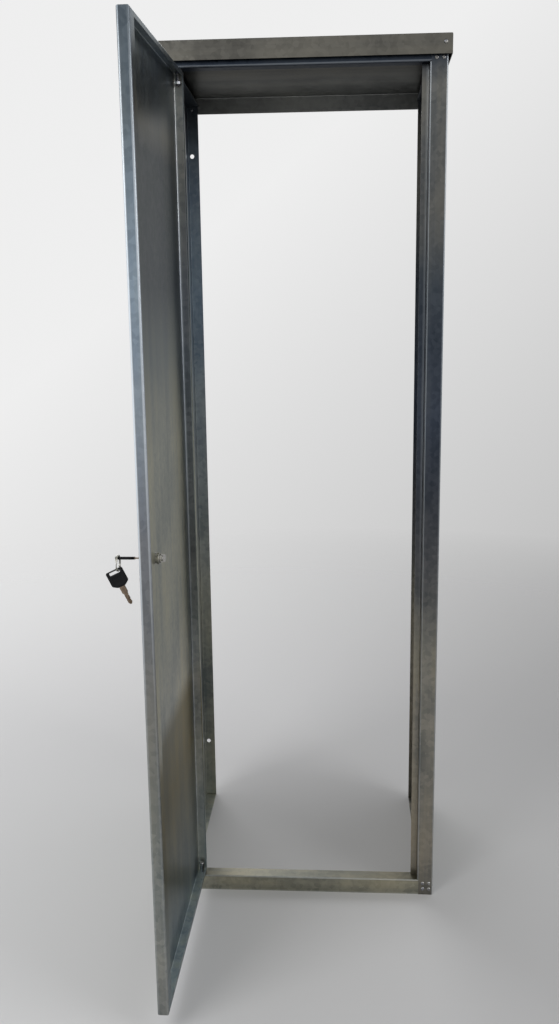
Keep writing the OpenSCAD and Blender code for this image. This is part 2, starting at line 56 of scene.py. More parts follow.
YAW, PITCH, ROLL = (math.radians(angle) for angle in (-3.756, -11.917, -0.743))


def camera_axes(yaw, pitch, roll):
    """Right, up and backward axes of a camera that looks along +Y, turned, tipped and rolled."""
    forward = np.array(
        [math.sin(yaw) * math.cos(pitch), math.cos(yaw) * math.cos(pitch), math.sin(pitch)]
    )
    level = np.array([math.cos(yaw), -math.sin(yaw), 0.0])
    upright = np.cross(level, forward)
    right = level * math.cos(roll) + upright * math.sin(roll)
    up = upright * math.cos(roll) - level * math.sin(roll)
    return right, up, -forward


camera = bpy.data.objects.new("camera", bpy.data.cameras.new("camera"))
bpy.context.scene.collection.objects.link(camera)
camera.data.sensor_width = SENSOR_MM
camera.data.lens = FOCAL_PIXELS * SENSOR_MM / PHOTO_HEIGHT
camera.data.clip_start = 0.01
axes = np.column_stack(camera_axes(YAW, PITCH, ROLL))
camera.matrix_world = Matrix.Translation(EYE) @ Matrix(axes.tolist()).to_4x4()
bpy.context.scene.camera = camera
bpy.context.scene.view_settings.view_transform = "Standard"


# Side panels
# Each is one sheet of hot-dip galvanised steel, folded on a press brake into post, lip, wall and
# flanges. The zinc has a fine spangle, faint rolling lines, streaks of rain and dull patches.
# Painted light lightens the walls low down, painted shade darkens them under the roof, and painted
# highlights run along the posts' bends and lips.
class Value:
    """A socket among nodes. Arithmetic on it adds Math nodes, also with a number on the left."""

    def __init__(self, nodes, socket):
        self.nodes = nodes
        self.socket = socket

    def __add__(self, other):
        return self.nodes.math("ADD", self, other)

    def __sub__(self, other):
        return self.nodes.math("SUBTRACT", self, other)

    def __rsub__(self, other):
        return self.nodes.math("SUBTRACT", other, self)

    def __mul__(self, other):
        return self.nodes.math("MULTIPLY", self, other)

    def __truediv__(self, other):
        return self.nodes.math("DIVIDE", self, other)

    def __rtruediv__(self, other):
        return self.nodes.math("DIVIDE", other, self)

    __radd__ = __add__
    __rmul__ = __mul__


class Nodes:
    """The nodes of a material or of the background."""

    def __init__(self, tree):
        self.tree = tree

    def node(self, kind, settings, inputs, output=0):
        """Adds any node: its settings first, then the values or links of its sockets."""
        node = self.tree.nodes.new(kind)
        for name, setting in settings.items():
            if name == "stops":
                self.fill_ramp(node.color_ramp, setting)
            else:
                setattr(node, name, setting)
        for name, value in inputs.items():
            self.feed(node.inputs[name], value)
        return Value(self, node.outputs[output])

    def fill_ramp(self, ramp, stops):
        """Gives a colour ramp its stops, each a position and a colour."""
        while len(ramp.elements) < len(stops):
            ramp.elements.new(1.0)
        for element, (position, colour) in zip(ramp.elements, stops):
            element.position = position
            element.color = (*colour, 1.0)

    def feed(self, socket, value):
        """Links a value to a socket, or gives the socket a number, a vector or a colour."""
        if isinstance(value, Value):
            self.tree.links.new(value.socket, socket)
        elif socket.type == "RGBA":
            socket.default_value = (*value, 1.0)
        else:
            socket.default_value = value

    def math(self, operation, *values):
        """A Math node on values and numbers."""
        inputs = dict(enumerate(values))
        return self.node("ShaderNodeMath", {"operation": operation}, inputs)

    def between(self, value, low, high, new_low=0.0, new_high=1.0):
        """The value moved from one range to another, and kept inside it."""
        inputs = {0: value, 1: low, 2: high, 3: new_low, 4: new_high}
        return self.node("ShaderNodeMapRange", {"clamp": True}, inputs)


class Finish(Nodes):
    """A material, its Principled shader and the nodes that paint it."""

    def __init__(self, name):
        self.material = bpy.data.materials.new(name)
        self.material.use_nodes = True
        super().__init__(self.material.node_tree)
        self.shader = self.tree.nodes["Principled BSDF"]
        self.place = self.node("ShaderNodeTexCoord", {}, {}, "Object")

    def ramp(self, value, stops):
        """A colour that runs through the stops as the value goes from 0 to 1."""
        return self.node("ShaderNodeValToRGB", {"stops": stops}, {"Fac": value})

    def mix(self, factor, first, second, blend="MIX"):
        """A colour between two, by the factor."""
        settings = {"data_type": "RGBA", "blend_type": blend}
        return self.node("ShaderNodeMix", settings, {0: factor, 6: first, 7: second}, 2)

    def coordinate(self, axis):
        """The X, Y or Z of the Object coordinates, in metres."""
        return self.node("ShaderNodeSeparateXYZ", {}, {"Vector": self.place}, axis)

    def stretched(self, lengths):
        """Object coordinates divided by a length in metres for each axis."""
        return self.node(
            "ShaderNodeVectorMath", {"operation": "DIVIDE"}, {0: self.place, 1: lengths}
        )

    def noise(self, lengths, detail, roughness=0.5):
        """Cloudy noise from 0 to 1 whose patches have the given lengths in metres."""
        inputs = {
            "Vector": self.stretched(lengths), "Scale": 1.0, "Detail": detail,
            "Roughness": roughness,
        }
        return self.node("ShaderNodeTexNoise", {}, inputs)

    def near_lines(self, points, along, reach):
        """1 beside any of the lines that run along an axis through the points, 0 past the reach."""
        flat = tuple(0.0 if axis == along else 1.0 for axis in range(3))
        level = self.node(
            "ShaderNodeVectorMath", {"operation": "MULTIPLY"}, {0: self.place, 1: flat}
        )
        found = 0.0
        for point in points:
            apart = self.node(
                "ShaderNodeVectorMath", {"operation": "DISTANCE"},
                {0: level, 1: tuple(point * np.array(flat))}, "Value",
            )
            found = self.math("MAXIMUM", found, self.between(apart, reach / 2, reach, 1.0, 0.0))
        return found

    def bump(self, height, distance):
        """A normal from a height, which is 1 at the given distance in metres."""
        inputs = {"Height": height, "Distance": distance, "Strength": 1.0}
        return self.node("ShaderNodeBump", {}, inputs)

    def shade(self, **inputs):
        """Feeds the shader's sockets, named with underscores for spaces."""
        for name, value in inputs.items():
            self.feed(self.shader.inputs[name.replace("_", " ")], value)
        return self.material


def dress(node, material):
    """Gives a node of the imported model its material."""
    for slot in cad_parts[node].material_slots:
        slot.material = material


left_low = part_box("left_side_panel")[0]
right_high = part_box("right_side_panel")[1]
MIDDLE = (left_low[0] + right_high[0]) / 2
FRONT = left_low[1]


def in_cabinet(points):
    """Millimetres from the middle of the posts' front at the floor, made metres in the frame."""
    return np.asarray(points) / 1000 + (MIDDLE, FRONT, 0.0)


# The sizes of the pieces are in millimetres, and the lengths of a finish are in metres.
SHEET = 1.2
HALF_SHEET = SHEET / 2000
FACE_BLEND = 0.0002
SPANGLE = 0.007
ROLL_LINE = 0.0014
UPRIGHT, ACROSS = 2, 0
ZINC = ((0.085, 0.097, 0.108), (0.205, 0.215, 0.222), (0.175, 0.165, 0.125))
# The colour of painted highlights along bends.
BEND_HIGHLIGHT = (0.8, 0.86, 0.92)
POST_INNER, POST_OUTER, LIP_DEPTH = 202.0, 230.0, 27.0
BEND = 1.0
BEND_REACH, LIP_REACH = 0.002, 0.007
TINT_HEIGHT = 1.5


def galvanised(name, tones, along, painted_light, bend_highlights=None, grazing=1.0):
    """Galvanised sheet: spangles as cells of their own tone, rolling lines and rain streaks along
    one axis, clouds between a dark and a light tone, and patches of a dull one. Two functions of
    the finish give its painted light and shade and its painted highlights along the bends, and the
    last value says how much of the glancing reflection it keeps."""
    finish = Finish(name)
    dark, light, dull = tones
    cells = finish.node(
        "ShaderNodeTexVoronoi", {"feature": "F1"},
        {"Vector": finish.stretched((SPANGLE, SPANGLE, SPANGLE)), "Scale": 1.0}, "Color",
    )
    spangle = finish.node("ShaderNodeSeparateColor", {}, {"Color": cells})
    across = tuple(0.5 if axis == along else ROLL_LINE for axis in range(3))
    lines = finish.noise(across, 2.0)
    streak = tuple(0.8 if axis == along else 0.03 for axis in range(3))
    streaks = finish.noise(streak, 4.0, 0.6)
    clouds = finish.noise((0.1, 0.1, 0.17), 5.0, 0.55)
    grain = finish.noise((0.0011, 0.0011, 0.0011), 2.0)
    tone = clouds * 0.5 + streaks * 0.33 + spangle * 0.1 + lines * 0.07
    zinc = finish.mix(finish.between(tone, 0.36, 0.66), dark, light)
    patches = finish.between(clouds * 0.4 + streaks * 0.6, 0.46, 0.68, 0.0, 0.55)
    wear_and_sheen = finish.mix(patches, zinc, dull)
    # Painted light and shade multiply the colour.
    colour = finish.mix(1.0, wear_and_sheen, painted_light(finish), "MULTIPLY")
    # Painted highlights along the bends, fainter where the streaks are faint.
    if bend_highlights:
        painted_sheen = bend_highlights(finish) * finish.between(streaks, 0.2, 0.6, 0.6, 1.0)
        colour = finish.mix(painted_sheen, colour, BEND_HIGHLIGHT)
    roughness = 0.2 + clouds * 0.12 + lines * 0.06 + spangle * 0.05 + grain * 0.06
    relief = spangle * 0.3 + lines * 0.4 + grain * 0.3
    return finish.shade(
        Base_Color=colour, Metallic=1.0, Roughness=roughness,
        Normal=finish.bump(relief, 0.00006), Specular_Tint=(grazing, grazing, grazing),
    )


# Painted light and shade by height: lighter low down and darker under the roof, and on the right
# wall also darker in its middle.
LEFT_PAINTED_LIGHT = (
    (0.0, (2.6, 2.55, 2.3)), (0.25, (2.5, 2.4, 2.1)), (0.45, (2.6, 2.6, 2.5)),
    (0.7, (2.0, 2.25, 2.5)), (0.88, (1.5, 1.65, 1.85)), (0.94, (0.5, 0.56, 0.64)),
)
RIGHT_PAINTED_LIGHT = (
    (0.0, (1.65, 1.45, 1.2)), (0.23, (2.1, 1.85, 1.5)), (0.31, (1.45, 1.33, 1.12)),
    (0.4, (0.8, 0.75, 0.73)), (0.48, (0.42, 0.43, 0.48)), (0.57, (0.37, 0.42, 0.54)),
    (0.72, (0.42, 0.46, 0.52)), (0.8, (0.75, 0.72, 0.68)), (0.92, (0.95, 0.9, 0.83)),
    (0.945, (0.3, 0.34, 0.42)),
)


def by_height(stops):
    """Painted light and shade by height above the floor: each stop is a share of the tint's height
    and a colour.
    """
    return lambda finish: finish.ramp(finish.coordinate("Z") / TINT_HEIGHT, stops)


def post_highlights(side):
    """Painted highlights on the upright bends of one post, at both sides of its face, and a wider
    painted sheen on its lip.
    """
    corners = in_cabinet([
        (side * (POST_INNER + BEND), BEND, 0), (side * (POST_OUTER - BEND), BEND, 0),
    ])
    lip = in_cabinet([(side * (POST_INNER - BEND), LIP_DEPTH, 0)])

    def painted_sheen(finish):
        """The larger of the painted highlights on the face's bends and the lip's painted sheen,
        which grows with height.
        """
        sheen = finish.near_lines(lip, UPRIGHT, LIP_REACH)
        upper = finish.between(finish.coordinate("Z"), 0.4, 0.75, 0.0, 0.42)
        edges = finish.near_lines(corners, UPRIGHT, BEND_REACH) * 0.3
        return finish.math("MAXIMUM", edges, sheen * upper)

    return painted_sheen


def right_painted_light(finish):
    """The right wall's painted light and shade by height, which on its outer face is that of the
    left panel.
    """
    middle = right_high[0] - HALF_SHEET
    outside = finish.between(finish.coordinate("X"), middle - FACE_BLEND, middle + FACE_BLEND)
    return finish.mix(outside, by_height(RIGHT_PAINTED_LIGHT)(finish), by_height(LEFT_PAINTED_LIGHT)(finish))


left_steel = galvanised(
    "left_panel_steel", ZINC, UPRIGHT, by_height(LEFT_PAINTED_LIGHT), post_highlights(-1)
)
right_steel = galvanised("right_panel_steel", ZINC, UPRIGHT, right_painted_light, post_highlights(1))
dress("left_side_panel", left_steel)
dress("right_side_panel", right_steel)

# Rails
# Two folded sheets behind the posts, an angle below the door and a channel above it. Their rolling
# lines run across the cabinet. The lower one's face is painted lighter low down, the upper one is
# painted dark with the roof's shade, and their bends carry faint painted highlights.
# Painted light and shade by height: lighter low on the lower rail's face, darker along its top edge,
# and dark under the roof.
RAIL_PAINTED_LIGHT = (
    (0.0165, (2.6, 2.35, 1.8)), (0.018, (0.55, 0.52, 0.45)), (0.5, (1.0, 1.0, 1.0)),
    (0.94, (0.2, 0.24, 0.32)),
)
LOWER_RAIL_TOP, UPPER_RAIL_BOTTOM = 28.0, 1411.0
RAIL_BEND = 2.0
# The lines of the rails' bends, which carry faint painted highlights.
rail_highlights = in_cabinet([
    (0, RAIL_BEND, LOWER_RAIL_TOP - BEND), (0, RAIL_BEND, BEND),
    (0, RAIL_BEND, UPPER_RAIL_BOTTOM + RAIL_BEND),
])
rail_steel = galvanised(
    "rail_steel", ZINC, ACROSS, by_height(RAIL_PAINTED_LIGHT),
    lambda finish: finish.near_lines(rail_highlights, ACROSS, BEND_REACH) * 0.15, 0.4,
)
for node in ("bottom_rail", "top_rail"):
    dress(node, rail_steel)

# Roof
# A shallow tray of the same sheet with folded skirts, riveted at its corners. Its zinc is a warmer
# grey than the rest, with painted shade near the front and painted light towards the back.
ROOF_ZINC = ((0.088, 0.086, 0.078), (0.175, 0.17, 0.152), (0.16, 0.15, 0.122))
# Painted shade and light from front to back: darkest a little behind the front, lightest at the
# back.
ROOF_PAINTED_LIGHT = (
    (0.02, (0.85, 0.85, 0.85)), (0.08, (0.5, 0.54, 0.58)), (0.5, (0.7, 0.72, 0.74)),
    (0.95, (2.0, 2.1, 2.3)),
)
TINT_DEPTH = 0.38


def by_depth(finish):
    """The roof's painted shade and light from front to back: each stop is a share of the tint's
    depth and a colour.
    """
    return finish.ramp((finish.coordinate("Y") - FRONT) / TINT_DEPTH, ROOF_PAINTED_LIGHT)


roof_steel = galvanised("roof_steel", ROOF_ZINC, ACROSS, by_depth, grazing=0.5)
dress("roof_cap", roof_steel)

# Rivets
# Blind rivets of zinc-plated steel. Each has a domed flange with the broken stem sunk in its
# middle, a shank through both sheets, and behind them a swollen tail around the stem's head.
RIVET_HEAD = 3.25
RIVET_PROFILE = np.array([
    (0.55, 0.75), (0.62, 0.7), (0.72, 0.62), (1.0, 0.62), (1.12, 0.72), (1.3, 1.42), (1.5, 1.5),
    (2.0, 1.38), (2.6, 1.0), (3.05, 0.5), (RIVET_HEAD, 0.18), (3.2, 0.0), (1.6, 0.0),
    (1.6, -2.45), (2.2, -2.5), (2.5, -2.9), (2.45, -3.6), (2.1, -4.3), (1.3, -4.69),
    (1.15, -4.75), (1.0, -5.25), (0.6, -5.45),
])
SHARP = math.radians(38)
YELLOWED = (0.5, 0.47, 0.36)


def stood(points, place, out):
    """Local points moved to a place, with their z axis turned along out. Their x axis is the
    upright less its part along out, at length 1, and their y axis is square to both."""
    out = np.asarray(out, float) / np.linalg.norm(out)
    side = np.array([0.0, 0.0, 1.0]) - out * out[2]
    side /= np.linalg.norm(side)
    return points @ np.stack([side, np.cross(out, side), out]) + place


def turned(profile, around=40):
    """Rings of a turned piece: each (radius, height) of the profile goes round the z axis."""
    angle = np.linspace(0, 2 * np.pi, around, endpoint=False)
    radius, height = np.asarray(profile, float).T[:, :, None]
    return np.stack([radius * np.cos(angle), radius * np.sin(angle), height + 0 * angle], -1)


def skin(rings, looped=False):
    """Vertices, quads and triangles of a closed skin over rings of points, one ring per row. Looped
    rings join the last ring to the first, and otherwise each end closes on its middle point."""
    count, around = rings.shape[:2]
    index = np.arange(count * around).reshape(count, around)
    near = index if looped else index[:-1]
    far = np.roll(index, -1, 0) if looped else index[1:]
    quads = np.stack([near, np.roll(near, -1, 1), np.roll(far, -1, 1), far], -1).reshape(-1, 4)
    points = rings.reshape(-1, 3)
    fans = np.empty((0, 3), int)
    if not looped:
        first, last = index[0], index[-1]
        tips = len(points) + np.arange(2)
        points = np.vstack([points, rings[[0, -1]].mean(1)])
        fans = np.vstack([
            np.stack([np.roll(first, -1), first, np.full(around, tips[0])], -1),
            np.stack([last, np.roll(last, -1), np.full(around, tips[1])], -1),
        ])
    corners = points[np.vstack([quads[:, :3], quads[:, [0, 2, 3]], fans])]
    volume = np.einsum("ij,ij", corners[:, 0], np.cross(corners[:, 1], corners[:, 2]))
    if volume < 0:
        quads, fans = quads[:, ::-1], fans[:, ::-1]
    return points, quads, fans


def piece(name, skins, material, node, body):
    """One object of closed skins in metres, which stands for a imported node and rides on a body."""
    points, faces, start = [], [], 0
    for vertices, quads, fans in skins:
        points.append(vertices)
        faces += (quads + start).tolist() + (fans + start).tolist()
        start += len(vertices)
    mesh = bpy.data.meshes.new(name)
    mesh.from_pydata(np.vstack(points), [], faces)
    mesh.shade_smooth()
    mesh.set_sharp_from_angle(angle=SHARP)
    mesh.materials.append(material)
    obj = bpy.data.objects.new(name, mesh)
    bpy.context.scene.collection.objects.link(obj)
    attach(obj, body)
    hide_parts(node)


def zinc_plated(name, dark, light, patch):
    """Bright zinc plate: clouds between two tones, a yellow cast in places and a fine grain. The
    patch is the length of a cloud in metres."""
    finish = Finish(name)
    clouds = finish.noise((patch, patch, patch), 4.0, 0.6)
    grain = finish.noise((0.0004, 0.0004, 0.0004), 2.0)
    cast = finish.noise((patch * 2, patch * 2, patch * 2), 2.0)
    plate = finish.mix(finish.between(clouds, 0.35, 0.65), dark, light)
    tinted = finish.mix(finish.between(cast, 0.4, 0.6, 0.0, 0.35), plate, YELLOWED)
    return finish.shade(
        Base_Color=tinted, Metallic=1.0, Roughness=0.2 + clouds * 0.18 + grain * 0.06,
        Normal=finish.bump(grain, 0.00003),
    )


def rivets(places, out):
    """A group of rivets at places in the cabinet, all with their heads towards out."""
    local = turned(RIVET_PROFILE, 32)
    return [skin(in_cabinet(stood(local, place, out))) for place in places]


zinc_plate = zinc_plated("zinc_plate", (0.1, 0.105, 0.12), (0.42, 0.43, 0.47), 0.0022)
to_front, to_back = (0.0, -1.0, 0.0), (0.0, 1.0, 0.0)
CORNER_X = (POST_INNER + 10.0, POST_INNER + 21.0)
BOTTOM_ROWS, TOP_ROWS = (22.0, 11.0), (1417.0, 1428.0)
BODY_HEIGHT, BACK = 1450.0, 370.0 + SHEET
ROOF_FRONT, ROOF_FALL, ROOF_RUN = -9.0, 19.0, 380.2
ROOF_SLOPE = math.atan(ROOF_FALL / ROOF_RUN)
FRONT_TAB_X, FRONT_TAB_Z = 225.0, 1437.0
REAR_TAB_X, REAR_TAB_Z = 216.7, 1418.0
REAR_FIXING_X = 219.0
REAR_FIXING_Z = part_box("roof_fixing_rivets")[0][2] * 1000 + RIVET_HEAD
TOP_FIXING_X, TOP_FIXING_Y = 151.4, 12.4
TOP_FIXING_Z = BODY_HEIGHT - (TOP_FIXING_Y - ROOF_FRONT) * math.tan(ROOF_SLOPE)
to_roof = (0.0, math.sin(ROOF_SLOPE), math.cos(ROOF_SLOPE))


def corner_places(heights):
    """Two columns of rivets in each post, at the given heights."""
    return [
        (side * x, 0.0, height) for side in (-1, 1) for x in CORNER_X for height in heights
    ]


def pair(x, y, z):
    """A place on each side of the cabinet's middle."""
    return [(-x, y, z), (x, y, z)]


tabs = rivets(pair(FRONT_TAB_X, ROOF_FRONT, FRONT_TAB_Z), to_front)
tabs += rivets(pair(REAR_TAB_X, BACK, REAR_TAB_Z), to_back)
fixings = rivets(pair(REAR_FIXING_X, BACK, REAR_FIXING_Z), to_back)
fixings += rivets(
    [(x, TOP_FIXING_Y, TOP_FIXING_Z) for x in (-TOP_FIXING_X, 0.0, TOP_FIXING_X)], to_roof
)
for name, closed_rivets, node in (
    ("rivets_bottom_corners", rivets(corner_places(BOTTOM_ROWS), to_front), "bottom_corner_rivets"),
    ("rivets_top_corners", rivets(corner_places(TOP_ROWS), to_front), "top_corner_rivets"),
    ("rivets_roof_corners", tabs, "roof_corner_rivets"),
    ("rivets_roof_fixings", fixings, "roof_fixing_rivets"),
):
    piece(name, closed_rivets, zinc_plate, node, "cabinet")

# Lower hinge
# A turned pin of zinc-plated steel with a domed head stands in the bottom rail, closed over below
# it. The door turns on it and rests on a washer.
PIVOT = (-189.455, 8.5)
PIN_TOP = 50.2
PIN_RADIUS = 3.25
FIT = 0.05
WASHER_RADIUS = 7.5
DOOR_BOTTOM = 31.0


def eased(corners, radius, steps=3, closed=False):
    """A line of points whose corners are curves: each runs from a point before the corner to one
    after it, as (1 - t)^2 a + 2 t (1 - t) b + t^2 c with b the corner itself."""
    corners = np.asarray(corners, float)
    before, after = np.roll(corners, 1, 0) - corners, np.roll(corners, -1, 0) - corners
    to_before, to_after = (np.linalg.norm(way, axis=1, keepdims=True) for way in (before, after))
    cut = np.minimum(radius, 0.45 * np.minimum(to_before, to_after))
    t = np.linspace(0, 1, steps + 1)[None, :, None]
    start = (corners + before / to_before * cut)[:, None]
    end = (corners + after / to_after * cut)[:, None]
    curves = (1 - t) ** 2 * start + 2 * t * (1 - t) * corners[:, None] + t ** 2 * end
    if closed:
        return curves.reshape(-1, 2)
    return np.vstack([corners[:1], curves[1:-1].reshape(-1, 2), corners[-1:]])


def on_hinge(rings):
    """Rings drawn around the door's axis, at their own heights above the floor."""
    return in_cabinet(rings + (*PIVOT, 0.0))


foot = LOWER_RAIL_TOP - SHEET
pin_profile = [
    (0.5, foot - 2.5), (4.3, foot - 2.5), (4.6, foot - 1.9), (4.6, foot - 0.4), (4.2, foot),
    (PIN_RADIUS, foot),
    (PIN_RADIUS, PIN_TOP - 3.0), (4.5, PIN_TOP - 3.0), (4.5, PIN_TOP - 1.5),
    (4.0, PIN_TOP - 0.7), (2.6, PIN_TOP - 0.15), (0.4, PIN_TOP),
]
pin = skin(on_hinge(turned(eased(pin_profile, 0.25))))
piece("hinge_pin_lower", [pin], zinc_plate, "lower_hinge_pin", "cabinet")


def washer(bore, low, high):
    """A washer between two heights: a rectangle with eased corners, turned about the axis."""
    section = [(bore, low), (WASHER_RADIUS, low), (WASHER_RADIUS, high), (bore, high)]
    return skin(on_hinge(turned(eased(section, 0.3, closed=True), 64)), looped=True)


lower_washer = washer(PIN_RADIUS + FIT, LOWER_RAIL_TOP, DOOR_BOTTOM)
piece(
    "hinge_washer_lower", [lower_washer], zinc_plate, "lower_hinge_washer", "cabinet",
)

# Upper hinge
# A hexagon bolt hangs from the top rail through a washer and the door's top edge, with a nut near
# its end. Both hexagons have turned chamfers, and the shank has its thread.
BOLT_RADIUS = 3.0
BOLT_END = 1386.8
BOLT_FLATS, BOLT_HEAD = 9.0, 3.5
THREAD_DEPTH, PITCH = 0.45, 0.8
NUT_TOP, NUT_HEIGHT = BOLT_END + 6.0, 4.0
DOOR_TOP = 1408.0


def hexagon_rings(flats, low, high, chamfer_low, chamfer_high):
    """Rings of a hexagon bar between two heights. Its radius is half the flats over the cosine of
    the angle from a flat's middle, and a cone cuts the chosen ends."""
    angle = np.linspace(0, 2 * np.pi, 72, endpoint=False)
    radius = flats / 2 / np.cos((angle + np.pi / 6) % (np.pi / 3) - np.pi / 6)
    inner = np.full_like(angle, flats / 2 * 0.96)
    drop = (radius - inner) * math.tan(math.radians(30))
    rows = [
        (inner, np.full_like(angle, low)), (radius, low + drop * chamfer_low),
        (radius, high - drop * chamfer_high), (inner, np.full_like(angle, high)),
    ]
    return np.array([
        np.stack([row * np.cos(angle), row * np.sin(angle), height], -1) for row, height in rows
    ])


def threaded(radius, depth, pitch, low, high, around=48):
    """Rings of a screw thread: the radius less the depth times a wave of height over pitch minus
    angle over a full turn, which runs out at both ends."""
    height = np.linspace(low, high, int((high - low) / pitch * 8) + 1)[:, None]
    angle = np.linspace(0, 2 * np.pi, around, endpoint=False)[None, :]
    wave = 0.5 - 0.5 * np.cos(2 * np.pi * height / pitch - angle)
    ease = np.clip(np.minimum(height - low, high - height) / pitch * 2, 0, 1)
    width = radius - depth * wave * ease
    return np.stack([width * np.cos(angle), width * np.sin(angle), height + 0 * angle], -1)


head_low = UPPER_RAIL_BOTTOM + SHEET
shank = np.concatenate([
    turned([(0.3, BOLT_END), (BOLT_RADIUS - 0.6, BOLT_END)], 48),
    threaded(BOLT_RADIUS, THREAD_DEPTH, PITCH, BOLT_END + 0.4, head_low),
])
bolt_head = hexagon_rings(BOLT_FLATS, head_low, head_low + BOLT_HEAD, 0, 1)
piece(
    "hinge_bolt_upper", [skin(on_hinge(shank)), skin(on_hinge(bolt_head))], zinc_plate,
    "upper_hinge_bolt", "cabinet",
)
nut_bore, nut_mouth, mouth_depth = BOLT_RADIUS + FIT, BOLT_RADIUS + 0.35, 0.4
nut_low = NUT_TOP - NUT_HEIGHT
nut_rings = np.concatenate([
    hexagon_rings(BOLT_FLATS, nut_low, NUT_TOP, 1, 1),
    turned([(nut_mouth, NUT_TOP), (nut_bore, NUT_TOP - mouth_depth)], 72),
    turned([(nut_bore, nut_low + mouth_depth), (nut_mouth, nut_low)], 72),
])
piece(
    "hinge_nut_upper", [skin(on_hinge(nut_rings), looped=True)], zinc_plate, "upper_hinge_nut",
    "cabinet",
)
upper_washer = washer(BOLT_RADIUS + FIT, DOOR_TOP, UPPER_RAIL_BOTTOM)
piece(
    "hinge_washer_upper", [upper_washer], zinc_plate, "upper_hinge_washer", "cabinet",
)

# Door
# One folded pan of the same sheet, here open. Its inner face carries painted warm reflections low
# and in the middle and a band of painted shade above, its outer face is even, and its bends carry
# painted highlights. Its walls at the free edge and hinge carry painted light and shade by height.
OPENED = math.radians(90.6)
DOOR_LEFT, DOOR_RIGHT, DOOR_DEPTH = -199.455, 200.0, 17.0
EDGE_DEEP, WALL_DEEP = 1.6, 3.0
EDGE_REACH, PAN_REACH = 0.0028, 0.003
# Painted light and shade by height: warm painted reflections on the inner face low and in the
# middle, painted shade in a band above, and the free edge and hinge walls painted lighter low down.
SKIN_PAINTED_LIGHT = (
    (0.05, (2.3, 2.5, 2.5)), (0.2, (1.8, 1.5, 0.85)), (0.265, (1.9, 1.6, 0.95)),
    (0.29, (3.7, 3.5, 3.0)), (0.38, (3.1, 3.0, 2.5)), (0.56, (3.0, 2.9, 2.4)),
    (0.65, (1.4, 1.5, 1.45)), (0.72, (0.42, 0.52, 0.58)), (0.84, (0.3, 0.38, 0.42)),
    (0.865, (1.2, 1.15, 1.0)), (0.89, (1.0, 1.1, 1.15)), (0.95, (2.0, 2.2, 2.4)),
)
OUTER_TINTS = (
    (0.05, (2.3, 2.2, 1.9)), (0.45, (2.7, 2.65, 2.35)), (0.75, (2.1, 2.2, 2.3)),
    (0.95, (1.6, 1.7, 1.85)),
)
EDGE_PAINTED_LIGHT = (
    (0.03, (1.9, 1.8, 1.6)), (0.15, (2.3, 2.2, 1.9)), (0.25, (1.55, 1.5, 1.33)),
    (0.36, (1.3, 1.27, 1.25)), (0.5, (1.2, 1.22, 1.35)), (0.6, (1.45, 1.65, 2.0)),
    (0.72, (1.5, 1.8, 2.2)), (0.86, (0.6, 0.7, 0.78)), (0.95, (0.55, 0.62, 0.68)),
)
WALL_PAINTED_LIGHT = (
    (0.1, (3.2, 3.15, 3.0)), (0.27, (2.8, 2.7, 2.6)), (0.36, (1.7, 1.65, 1.55)),
    (0.42, (1.0, 0.97, 0.95)), (0.53, (1.35, 1.35, 1.4)), (0.72, (1.55, 1.6, 1.8)),
    (0.83, (3.0, 2.8, 2.5)),
)


def on_door(points):
    """Points of the closed door in millimetres, turned with it about its hinge and placed."""
    across, deep, height = np.moveaxis(np.asarray(points, float), -1, 0)
    across, deep = across - PIVOT[0], deep - PIVOT[1]
    x = PIVOT[0] + across * math.cos(OPENED) + deep * math.sin(OPENED)
    y = PIVOT[1] - across * math.sin(OPENED) + deep * math.cos(OPENED)
    return in_cabinet(np.stack([x, y, height], -1))


def door_painted_light(finish):
    """The pan's tint by height inside and out, painted light and shade on its inner face, and
    painted light and shade by height for the walls at its free edge and hinge. The distance inwards
    from the outer face is the place's dot product with the door's direction."""
    outer, inward = on_door([(0, 0, 0), (0, 1, 0)])
    inward = (inward - outer) / np.linalg.norm(inward - outer)
    distance = finish.node(
        "ShaderNodeVectorMath", {"operation": "DOT_PRODUCT"}, {0: finish.place, 1: tuple(inward)},
        "Value",
    )
    middle = float(outer @ inward) + HALF_SHEET
    face = finish.mix(
        finish.between(distance, middle - FACE_BLEND, middle + FACE_BLEND),
        by_height(OUTER_TINTS)(finish), by_height(SKIN_PAINTED_LIGHT)(finish),
    )
    depth = finish.coordinate("Y")
    edge, wall = on_door([(DOOR_RIGHT - EDGE_DEEP, 0, 0), (DOOR_LEFT + WALL_DEEP, 0, 0)])[:, 1]
    painted_light = finish.mix(
        finish.between(depth, edge, edge + 2 * FACE_BLEND), by_height(EDGE_PAINTED_LIGHT)(finish), face
    )
    hinge_side = finish.between(depth, wall - 0.004, wall)
    return finish.mix(hinge_side, painted_light, by_height(WALL_PAINTED_LIGHT)(finish))


def door_highlights(finish):
    """Painted highlights on the four upright bends of the pan, brightest between 0.85 m and 1.2 m
    high.
    """
    corners = on_door([
        (DOOR_RIGHT - BEND, BEND, 0), (DOOR_RIGHT - BEND, DOOR_DEPTH - BEND, 0),
        (DOOR_LEFT + 2 * BEND, 2 * BEND, 0), (DOOR_LEFT + BEND, DOOR_DEPTH - BEND, 0),
    ])
    height = finish.coordinate("Z")
    wear_and_sheen = finish.between(height, 0.5, 0.85, 0.15, 1.0) * finish.between(height, 1.2, 1.4, 1.0, 0.2)
    return finish.math(
        "MAXIMUM", finish.near_lines(corners[:1], UPRIGHT, EDGE_REACH) * wear_and_sheen,
        finish.near_lines(corners[1:], UPRIGHT, PAN_REACH) * wear_and_sheen * 0.6,
    )


door_steel = galvanised("door_steel", ZINC, UPRIGHT, door_painted_light, door_highlights, 0.65)
dress("door_panel", door_steel)

